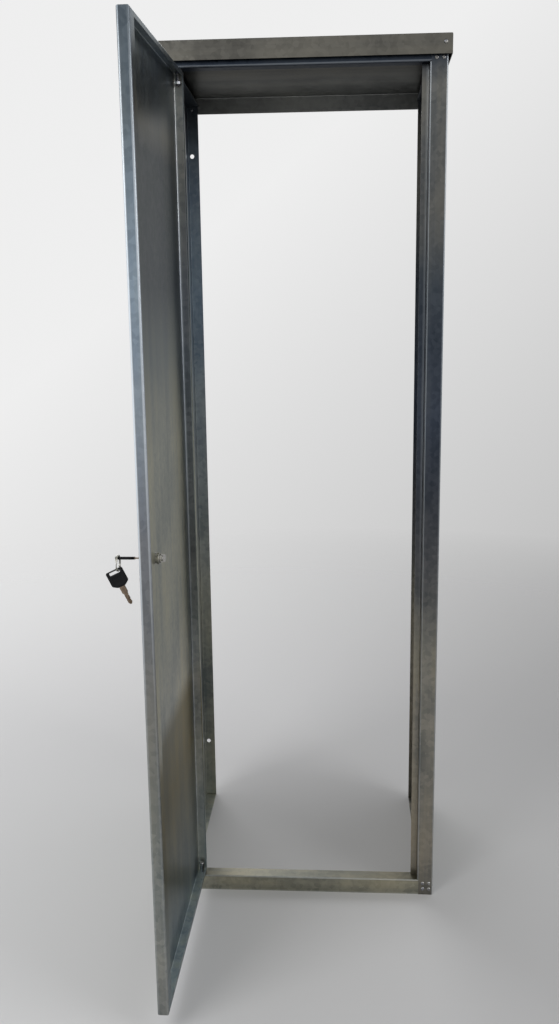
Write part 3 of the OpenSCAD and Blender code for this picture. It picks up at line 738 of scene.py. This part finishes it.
# Lock
# A cam lock of plated zinc: a threaded housing with a flange, a nut that clamps it, and the turning
# plug, whose square carries a stamped cam under a screw.
LOCK_X, LOCK_Z = 165.0, 715.0
TURNED = math.radians(14)
FLANGE_T = 2.0
HOUSING_RADIUS, BORE_RADIUS, HOUSING_END = 8.0, 5.6, 22.25
HOUSING_GROOVE, HOUSING_PITCH = 0.55, 1.25
LOCK_NUT_FLATS, LOCK_NUT_TOP = 20.0, 4.7
CAM_FACE = 22.55


def rolled(points, angle):
    """Points turned about the lock's axis, so that what is at +x rises."""
    x, y, z = np.moveaxis(np.asarray(points), -1, 0)
    right = x * math.cos(angle) - z * math.sin(angle)
    return np.stack([right, y, x * math.sin(angle) + z * math.cos(angle)], -1)


def at_lock(rings, angle=0.0):
    """Rings drawn along the lock's axis from the door's outer face, turned and put in place."""
    x, y, z = np.moveaxis(np.asarray(rings), -1, 0)
    return on_door(rolled(np.stack([x, z, -y], -1), angle) + (LOCK_X, 0.0, LOCK_Z))


flange_profile = [
    (BORE_RADIUS, 1.0), (BORE_RADIUS, -1.7), (5.95, -FLANGE_T), (7.2, -FLANGE_T), (9.3, -1.75),
    (10.2, -1.1), (10.5, -0.35), (10.4, 0.0), (HOUSING_RADIUS, 0.0), (HOUSING_RADIUS, 1.6),
]
collar_profile = [
    (HOUSING_RADIUS, 16.4), (7.0, 17.0), (7.0, 18.6), (7.8, 18.9), (HOUSING_RADIUS, 19.3),
    (HOUSING_RADIUS, 21.9), (7.7, HOUSING_END), (BORE_RADIUS, HOUSING_END),
]
housing_thread = threaded(HOUSING_RADIUS, HOUSING_GROOVE, HOUSING_PITCH, 1.7, 16.3, 64)
housing_rings = np.concatenate([
    turned(flange_profile, 64), housing_thread, turned(collar_profile, 64),
])
lock_plate = zinc_plated("lock_plate", (0.27, 0.265, 0.25), (0.58, 0.575, 0.55), 0.003)
piece(
    "lock_body", [skin(at_lock(housing_rings), looped=True)], lock_plate, "lock_housing", "door",
)
clamp_rings = np.concatenate([
    hexagon_rings(LOCK_NUT_FLATS, SHEET, LOCK_NUT_TOP, 0, 1),
    turned([
        (HOUSING_RADIUS + 0.5, LOCK_NUT_TOP), (HOUSING_RADIUS + FIT, LOCK_NUT_TOP - 0.4),
        (HOUSING_RADIUS + FIT, SHEET + 0.1), (HOUSING_RADIUS + 0.3, SHEET),
    ], 72),
])
piece(
    "lock_clamp_nut", [skin(at_lock(clamp_rings), looped=True)], lock_plate, "lock_nut", "door",
)
CAM_LENGTH, CAM_RADIUS, CAM_TIP, CAM_T = 33.0, 6.5, 5.2, 2.0
SQUARE_HALF = 3.5


def plate_rings(outline, hole, low, high, ease):
    """Looped rings of a flat plate with a hole, its outer corners eased: hole, face, edge, face."""
    ahead, behind = np.roll(outline, -1, 0), np.roll(outline, 1, 0)
    along = ahead - behind
    inward = np.stack([-along[:, 1], along[:, 0]], -1)
    inward /= np.linalg.norm(inward, axis=1, keepdims=True)
    loops = (
        (hole, low), (hole, high), (outline + inward * ease, high), (outline, high - ease),
        (outline, low + ease), (outline + inward * ease, low),
    )
    return np.array([np.column_stack([loop, np.full(len(loop), z)]) for loop, z in loops])


def cam_outline():
    """The cam's edge: half its width at each x is the larger of a disc's and a round bar's."""
    x = (CAM_RADIUS - CAM_LENGTH) / 2 + (CAM_RADIUS + CAM_LENGTH) / 2 * np.cos(
        np.linspace(0, np.pi, 61)
    )
    disc = np.sqrt(np.clip(CAM_RADIUS ** 2 - x ** 2, 0, None))
    end = np.clip(-x - CAM_LENGTH + CAM_TIP, 0, CAM_TIP)
    bar = np.where(x < 0, np.sqrt(CAM_TIP ** 2 - end ** 2), 0)
    half = np.maximum(disc, bar)
    upper = np.column_stack([x, half])
    lower = np.column_stack([x, -half])
    return np.vstack([upper, lower[-2:0:-1]])


cam_edge = cam_outline()
cam_angle = np.arctan2(cam_edge[:, 1], cam_edge[:, 0])
reach = SQUARE_HALF / np.maximum(abs(np.cos(cam_angle)), abs(np.sin(cam_angle)))
cam_hole = np.stack([reach * np.cos(cam_angle), reach * np.sin(cam_angle)], -1)
cam_plate = plate_rings(cam_edge, cam_hole, CAM_FACE, CAM_FACE + CAM_T, 0.3)
piece(
    "lock_cam_plate", [skin(at_lock(cam_plate, TURNED), looped=True)], lock_plate, "lock_cam",
    "lock_barrel",
)


def broken_edges(name, node, width, material, body):
    """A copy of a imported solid, merged, with a narrow bevel along its sharp edges."""
    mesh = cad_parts[node].data.copy()
    obj = bpy.data.objects.new(name, mesh)
    bpy.context.scene.collection.objects.link(obj)
    shell = bmesh.new()
    shell.from_mesh(mesh)
    bmesh.ops.remove_doubles(shell, verts=shell.verts, dist=1e-6)
    bmesh.ops.dissolve_limit(
        shell, angle_limit=math.radians(1), verts=shell.verts, edges=shell.edges
    )
    shell.to_mesh(mesh)
    shell.free()
    bevel = obj.modifiers.new("bevel", "BEVEL")
    bevel.width = width
    bevel.segments = 2
    bevel.limit_method = "ANGLE"
    bevel.angle_limit = math.radians(40)
    mesh.materials.clear()
    mesh.materials.append(material)
    mesh.shade_smooth()
    mesh.set_sharp_from_angle(angle=SHARP)
    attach(obj, body)
    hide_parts(node)


broken_edges(
    "lock_barrel_plug", "lock_plug", 0.00015, lock_plate, "lock_barrel"
)
broken_edges(
    "lock_cam_screw", "cam_screw", 0.00025, lock_plate, "lock_barrel"
)

# Keys
# Two like keys of brown nickel silver, with a wide collar, a milled groove and cut teeth, moulded
# into heads of glossy black plastic. One is in the lock and the other hangs on its ring.
SLOT_LENGTH, SLOT_WIDTH, SLOT_EDGE = 17.0, 4.0, 2.0
HEAD_WIDTH, HEAD_LENGTH, HEAD_THICK = 25.0, 25.5, 4.0
ROOT = HEAD_LENGTH - SLOT_EDGE - SLOT_WIDTH / 2
BLADE_LENGTH, BLADE_HALF, BLADE_THICK = 27.5, 2.875, 2.0
TIP_LENGTH, TIP_HALF = 2.875, 0.72
COLLAR_LENGTH, COLLAR_HALF = 10.0, 4.125
BURIED = 4.0
TEETH = ((5.08, 0.77), (7.48, 1.15), (10.83, 0.38), (13.22, 0.77))
TOOTH_HALF = 0.95
EDGE_ROUND = 0.22
GROOVE_DEPTH, GROOVE_SIDE = 0.45, 0.45
GROOVE_ABOVE, GROOVE_BELOW = -0.9, 0.5
PANEL_Y, PANEL_HALF_X, PANEL_HALF_Y, PANEL_DEPTH = 11.0, 7.5, 5.2, 0.35
SLOT_Y = -33.8
RING_RADIUS, WIRE = 10.7, 0.75
SPARE_TILT = math.radians(26)


def blade_rings():
    """Cross sections along y. The half width is the collar's, then the blade's, which narrows at
    the tip. The teeth notch one edge, and each face is the thickness over 2 less a rounding at the
    edges and a groove, whose sides slope from the full depth to nothing."""
    tip = ROOT + BLADE_LENGTH
    y = np.concatenate([
        [ROOT - BURIED, ROOT, ROOT + COLLAR_LENGTH - 0.4, ROOT + COLLAR_LENGTH],
        np.linspace(ROOT + COLLAR_LENGTH + 0.3, tip - 0.02, 64),
    ])
    narrow = np.clip((tip - y) / TIP_LENGTH, 0, 1)
    half = TIP_HALF + (BLADE_HALF - TIP_HALF) * narrow
    half = np.where(y < ROOT + COLLAR_LENGTH + 0.1, COLLAR_HALF, half)
    half[3] = COLLAR_HALF - 0.35
    cuts = sum(
        depth * np.clip(1 - abs(tip - y - far) / TOOTH_HALF, 0, 1) for far, depth in TEETH
    )
    s = np.sin(np.linspace(-np.pi / 2, np.pi / 2, 30))
    middle, spread = -cuts / 2, half - cuts / 2
    x = middle[:, None] + spread[:, None] * s
    rim = EDGE_ROUND * np.clip(1 - (spread[:, None] * (1 - abs(s))) / EDGE_ROUND, 0, 1) ** 2
    milled = np.clip((y - ROOT - 3.0) / 1.5, 0, 1) * np.clip((tip - y) / 1.5, 0, 1)

    def groove(line):
        """The groove's depth at each x: full beside its line, falling to 0 over its side."""
        return GROOVE_DEPTH * milled[:, None] * np.clip(1.6 - abs(x - line) / GROOVE_SIDE, 0, 1)

    upper = BLADE_THICK / 2 - rim - groove(GROOVE_ABOVE)
    lower = -BLADE_THICK / 2 + rim + groove(GROOVE_BELOW)
    along = np.repeat(y[:, None], len(s), 1)
    top = np.stack([x, along, upper], -1)
    bottom = np.stack([x, along, lower], -1)[:, ::-1]
    return np.concatenate([top, bottom], 1)


def evenly(outline, count):
    """Points at equal steps along a closed line."""
    loop = np.vstack([outline, outline[:1]])
    steps = np.linalg.norm(np.diff(loop, axis=0), axis=1)
    way = np.concatenate([[0], np.cumsum(steps)])
    at = np.linspace(0, way[-1], count, endpoint=False)
    return np.stack([np.interp(at, way, loop[:, axis]) for axis in (0, 1)], -1)


def head_rings():
    """Looped rings from the slot over the face to the outer edge and back below. Each ring lies
    between the outline and the nearest points of the slot, and its height falls off in a quarter
    circle at both edges, with a shallow plain panel pressed into the face."""
    side, end, shoulder = HEAD_WIDTH / 2, ROOT - HEAD_LENGTH, ROOT - 4.5
    corners = [
        (-side, end), (side, end), (side, shoulder), (5.5, ROOT), (-5.5, ROOT), (-side, shoulder),
    ]
    radii = np.array([[2.8], [2.8], [1.8], [0.8], [0.8], [1.8]])
    outer = evenly(eased(corners, radii, 6, closed=True), 192)
    centre = np.column_stack([
        np.clip(outer[:, 0], (SLOT_WIDTH - SLOT_LENGTH) / 2, (SLOT_LENGTH - SLOT_WIDTH) / 2),
        np.zeros(len(outer)),
    ])
    away = outer - centre
    span = np.linalg.norm(away, axis=1, keepdims=True)
    away /= span
    inner = centre + away * SLOT_WIDTH / 2
    span -= SLOT_WIDTH / 2
    bend, lip = 1.25, 0.6
    turn = np.linspace(0, np.pi / 2, 7)
    rows = []
    for part in 1 - np.cos(turn):
        rows.append((inner + away * lip * part, lip * (1 - math.sqrt(1 - (1 - part) ** 2))))
    for part in np.linspace(0, 1, 13)[1:-1]:
        rows.append((inner + away * (lip + (span - lip - bend) * part), 0.0))
    for part in np.sin(turn):
        rows.append((outer - away * bend * (1 - part), bend * (1 - math.sqrt(1 - part ** 2))))
    faces = []
    for loop, fall in rows:
        inset = np.maximum(
            abs(loop[:, 0]) / PANEL_HALF_X, abs(loop[:, 1] - PANEL_Y) / PANEL_HALF_Y
        )
        panel = PANEL_DEPTH * np.clip((1 - inset) * 8, 0, 1)
        faces.append(np.column_stack([loop, HEAD_THICK / 2 - fall - panel]))
    top = np.array(faces)
    bottom = top[::-1] * (1, 1, -1)
    return np.concatenate([top, bottom])


def in_lock(points):
    """A key's own points, turned and moved so that its blade lies in the lock."""
    return on_door(rolled(points, TURNED) + (LOCK_X, SLOT_Y, LOCK_Z))


RING_PLAY, SPARE_PLAY = 0.3, 0.6
RIM = (HEAD_WIDTH - SLOT_LENGTH) / 2
RIM_SIDE = RIM / 2 * math.cos(TURNED) - HEAD_THICK / 2 * math.sin(TURNED)
RIM_TOP = HEAD_WIDTH / 2 * math.sin(TURNED) + HEAD_THICK / 2 * math.cos(TURNED)
RING_X = LOCK_X + (HEAD_WIDTH - RIM) / 2 * math.cos(TURNED)
RING_Z = LOCK_Z + RIM_TOP - math.sqrt((RING_RADIUS - WIRE - RING_PLAY) ** 2 - RIM_SIDE ** 2)


def on_ring(points):
    """A key's own points, blade down, tilted about the ring's lowest point and hung there."""
    x, y, z = np.moveaxis(points, -1, 0)
    x = x - (SLOT_LENGTH - SLOT_WIDTH) / 2 + SPARE_PLAY
    right = x * math.cos(SPARE_TILT) + y * math.sin(SPARE_TILT)
    up = x * math.sin(SPARE_TILT) - y * math.cos(SPARE_TILT)
    return on_door(np.stack([RING_X - z, SLOT_Y + right, RING_Z - RING_RADIUS + up], -1))


brown_finish = Finish("nickel_silver")
brown_clouds = brown_finish.noise((0.006, 0.006, 0.006), 4.0, 0.6)
draw_lines = brown_finish.noise((0.0004, 0.0004, 0.0004), 2.0)
nickel_silver = brown_finish.shade(
    Base_Color=brown_finish.mix(
        brown_finish.between(brown_clouds, 0.35, 0.65), (0.12, 0.087, 0.063), (0.26, 0.2, 0.15)
    ),
    Metallic=1.0, Roughness=0.3 + brown_clouds * 0.15,
    Normal=brown_finish.bump(draw_lines, 0.00004),
)
plastic_finish = Finish("black_plastic")
fine_grain = plastic_finish.noise((0.0005, 0.0005, 0.0005), 2.0)
smudge = plastic_finish.noise((0.008, 0.008, 0.008), 3.0, 0.6)
black_plastic = plastic_finish.shade(
    Base_Color=plastic_finish.mix(smudge, (0.0015, 0.0017, 0.0025), (0.004, 0.0045, 0.006)),
    Roughness=0.1 + smudge * 0.12, Normal=plastic_finish.bump(fine_grain, 0.00002),
    Specular_IOR_Level=0.2,
)
for name, blade_node, head_node, body, place in (
    ("lock_key", "key_blade", "key_head", "key", in_lock),
    ("spare_key", "spare_key_blade", "spare_key_head", "spare_key", on_ring),
):
    blade = skin(place(blade_rings()))
    piece(name + "_blade", [blade], nickel_silver, blade_node, body)
    head = skin(place(head_rings()), looped=True)
    piece(name + "_head", [head], black_plastic, head_node, body)

# Key ring
# A split ring of plated spring wire: two turns that lie side by side, with a step from one to the
# other where the ends meet.
WIRE_START, WIRE_END = 0.12 * np.pi, 3.88 * np.pi
STEP_START, STEP_LENGTH = 1.8 * np.pi, 0.4 * np.pi
# The wire's middle goes round at one radius. Over the step, its offset along the axis rises from
# minus to plus the wire's radius, as 3 s^2 - 2 s^3.
turn = np.linspace(WIRE_START, WIRE_END, 240)
step = np.clip((turn - STEP_START) / STEP_LENGTH, 0, 1)
offset = 2 * WIRE * (step * step * (3 - 2 * step) - 0.5)
round_wire = np.linspace(0, 2 * np.pi, 12, endpoint=False)
from_centre = RING_RADIUS + WIRE * np.cos(round_wire)[None, :]
ring_rings = np.stack([
    RING_X + from_centre * np.cos(turn)[:, None],
    SLOT_Y + offset[:, None] + WIRE * np.sin(round_wire)[None, :],
    RING_Z + from_centre * np.sin(turn)[:, None],
], -1)
ring_skin = skin(on_door(ring_rings))
piece("split_ring", [ring_skin], lock_plate, "key_ring", "key_ring")

# Floor, background and lamps
# A pale studio floor, painted lighter at the left and darker at the right, that fades into the
# background, which is lighter at the upper left, under large soft lamps.
FLOOR_RADIUS, FLOOR_SIDES = 6.0, 96
LAMP_SIZE = 1.6
around = np.linspace(0, 2 * np.pi, FLOOR_SIDES, endpoint=False)
floor_mesh = bpy.data.meshes.new("floor")
floor_mesh.from_pydata(
    np.stack([FLOOR_RADIUS * np.cos(around), FLOOR_RADIUS * np.sin(around), 0 * around], -1),
    [], [list(range(FLOOR_SIDES))],
)
floor = bpy.data.objects.new("floor", floor_mesh)
bpy.context.scene.collection.objects.link(floor)
floor_finish = Finish("floor")
distance = floor_finish.node(
    "ShaderNodeVectorMath", {"operation": "LENGTH"}, {0: floor_finish.place}, "Value"
)
# Painted light: the floor is lighter at the left and darker at the right.
painted_side_light = floor_finish.between(floor_finish.coordinate("X"), -1.2, 1.2)
floor_paint = floor_finish.shade(
    Base_Color=floor_finish.mix(painted_side_light, (0.8, 0.8, 0.8), (0.34, 0.34, 0.34)),
    Roughness=0.85, Alpha=floor_finish.between(distance, 0.9, 3.0, 1.0, 0.0),
)
floor_mesh.materials.append(floor_paint)

# The background's paleness follows the dot product of the ray with a line to the upper left. The
# camera, reflections and rays that pass through see it, and all others get one even grey.
world = bpy.data.worlds.new("studio")
bpy.context.scene.world = world
world.use_nodes = True
sky = Nodes(world.node_tree)
sky.tree.nodes.remove(sky.tree.nodes["Background"])
direction = sky.node("ShaderNodeTexCoord", {}, {}, "Generated")
slope = sky.node(
    "ShaderNodeVectorMath", {"operation": "DOT_PRODUCT"}, {0: direction, 1: (-0.62, 0.0, 0.78)},
    "Value",
)
paleness = sky.between(slope, -0.55, 0.12, 0.36, 0.86)
camera_ray, glossy_ray, passing_ray = (
    sky.node("ShaderNodeLightPath", {}, {}, ray)
    for ray in ("Is Camera Ray", "Is Glossy Ray", "Is Transmission Ray")
)
seen = sky.math("MAXIMUM", sky.math("MAXIMUM", camera_ray, glossy_ray), passing_ray)
light_only = sky.node("ShaderNodeBackground", {}, {"Color": (0.5, 0.5, 0.51)})
backdrop = sky.node("ShaderNodeBackground", {}, {"Color": paleness})
mixed = sky.node("ShaderNodeMixShader", {}, {0: seen, 1: light_only, 2: backdrop})
sky.feed(sky.tree.nodes["World Output"].inputs["Surface"], mixed)


def soft_lamp(name, place, aim, watts):
    """An area lamp that faces a point."""
    lamp = bpy.data.objects.new(name, bpy.data.lights.new(name, "AREA"))
    lamp.data.shape = "RECTANGLE"
    lamp.data.size = LAMP_SIZE
    lamp.data.size_y = LAMP_SIZE
    lamp.data.energy = watts
    bpy.context.scene.collection.objects.link(lamp)
    back = np.array(place, float) - np.array(aim, float)
    back /= np.linalg.norm(back)
    right = np.cross((0.0, 0.0, 1.0), back)
    right /= np.linalg.norm(right)
    turn = np.column_stack([right, np.cross(back, right), back])
    lamp.matrix_world = Matrix.Translation(place) @ Matrix(turn.tolist()).to_4x4()


soft_lamp("key_lamp", (-1.8, -2.2, 2.6), (0.0, 0.0, 0.8), 36.0)
soft_lamp("fill_lamp", (2.2, -1.2, 1.8), (0.0, 0.0, 0.7), 20.0)
soft_lamp("back_lamp", (-0.8, 2.6, 2.3), (-0.3, 0.7, 0.0), 26.0)
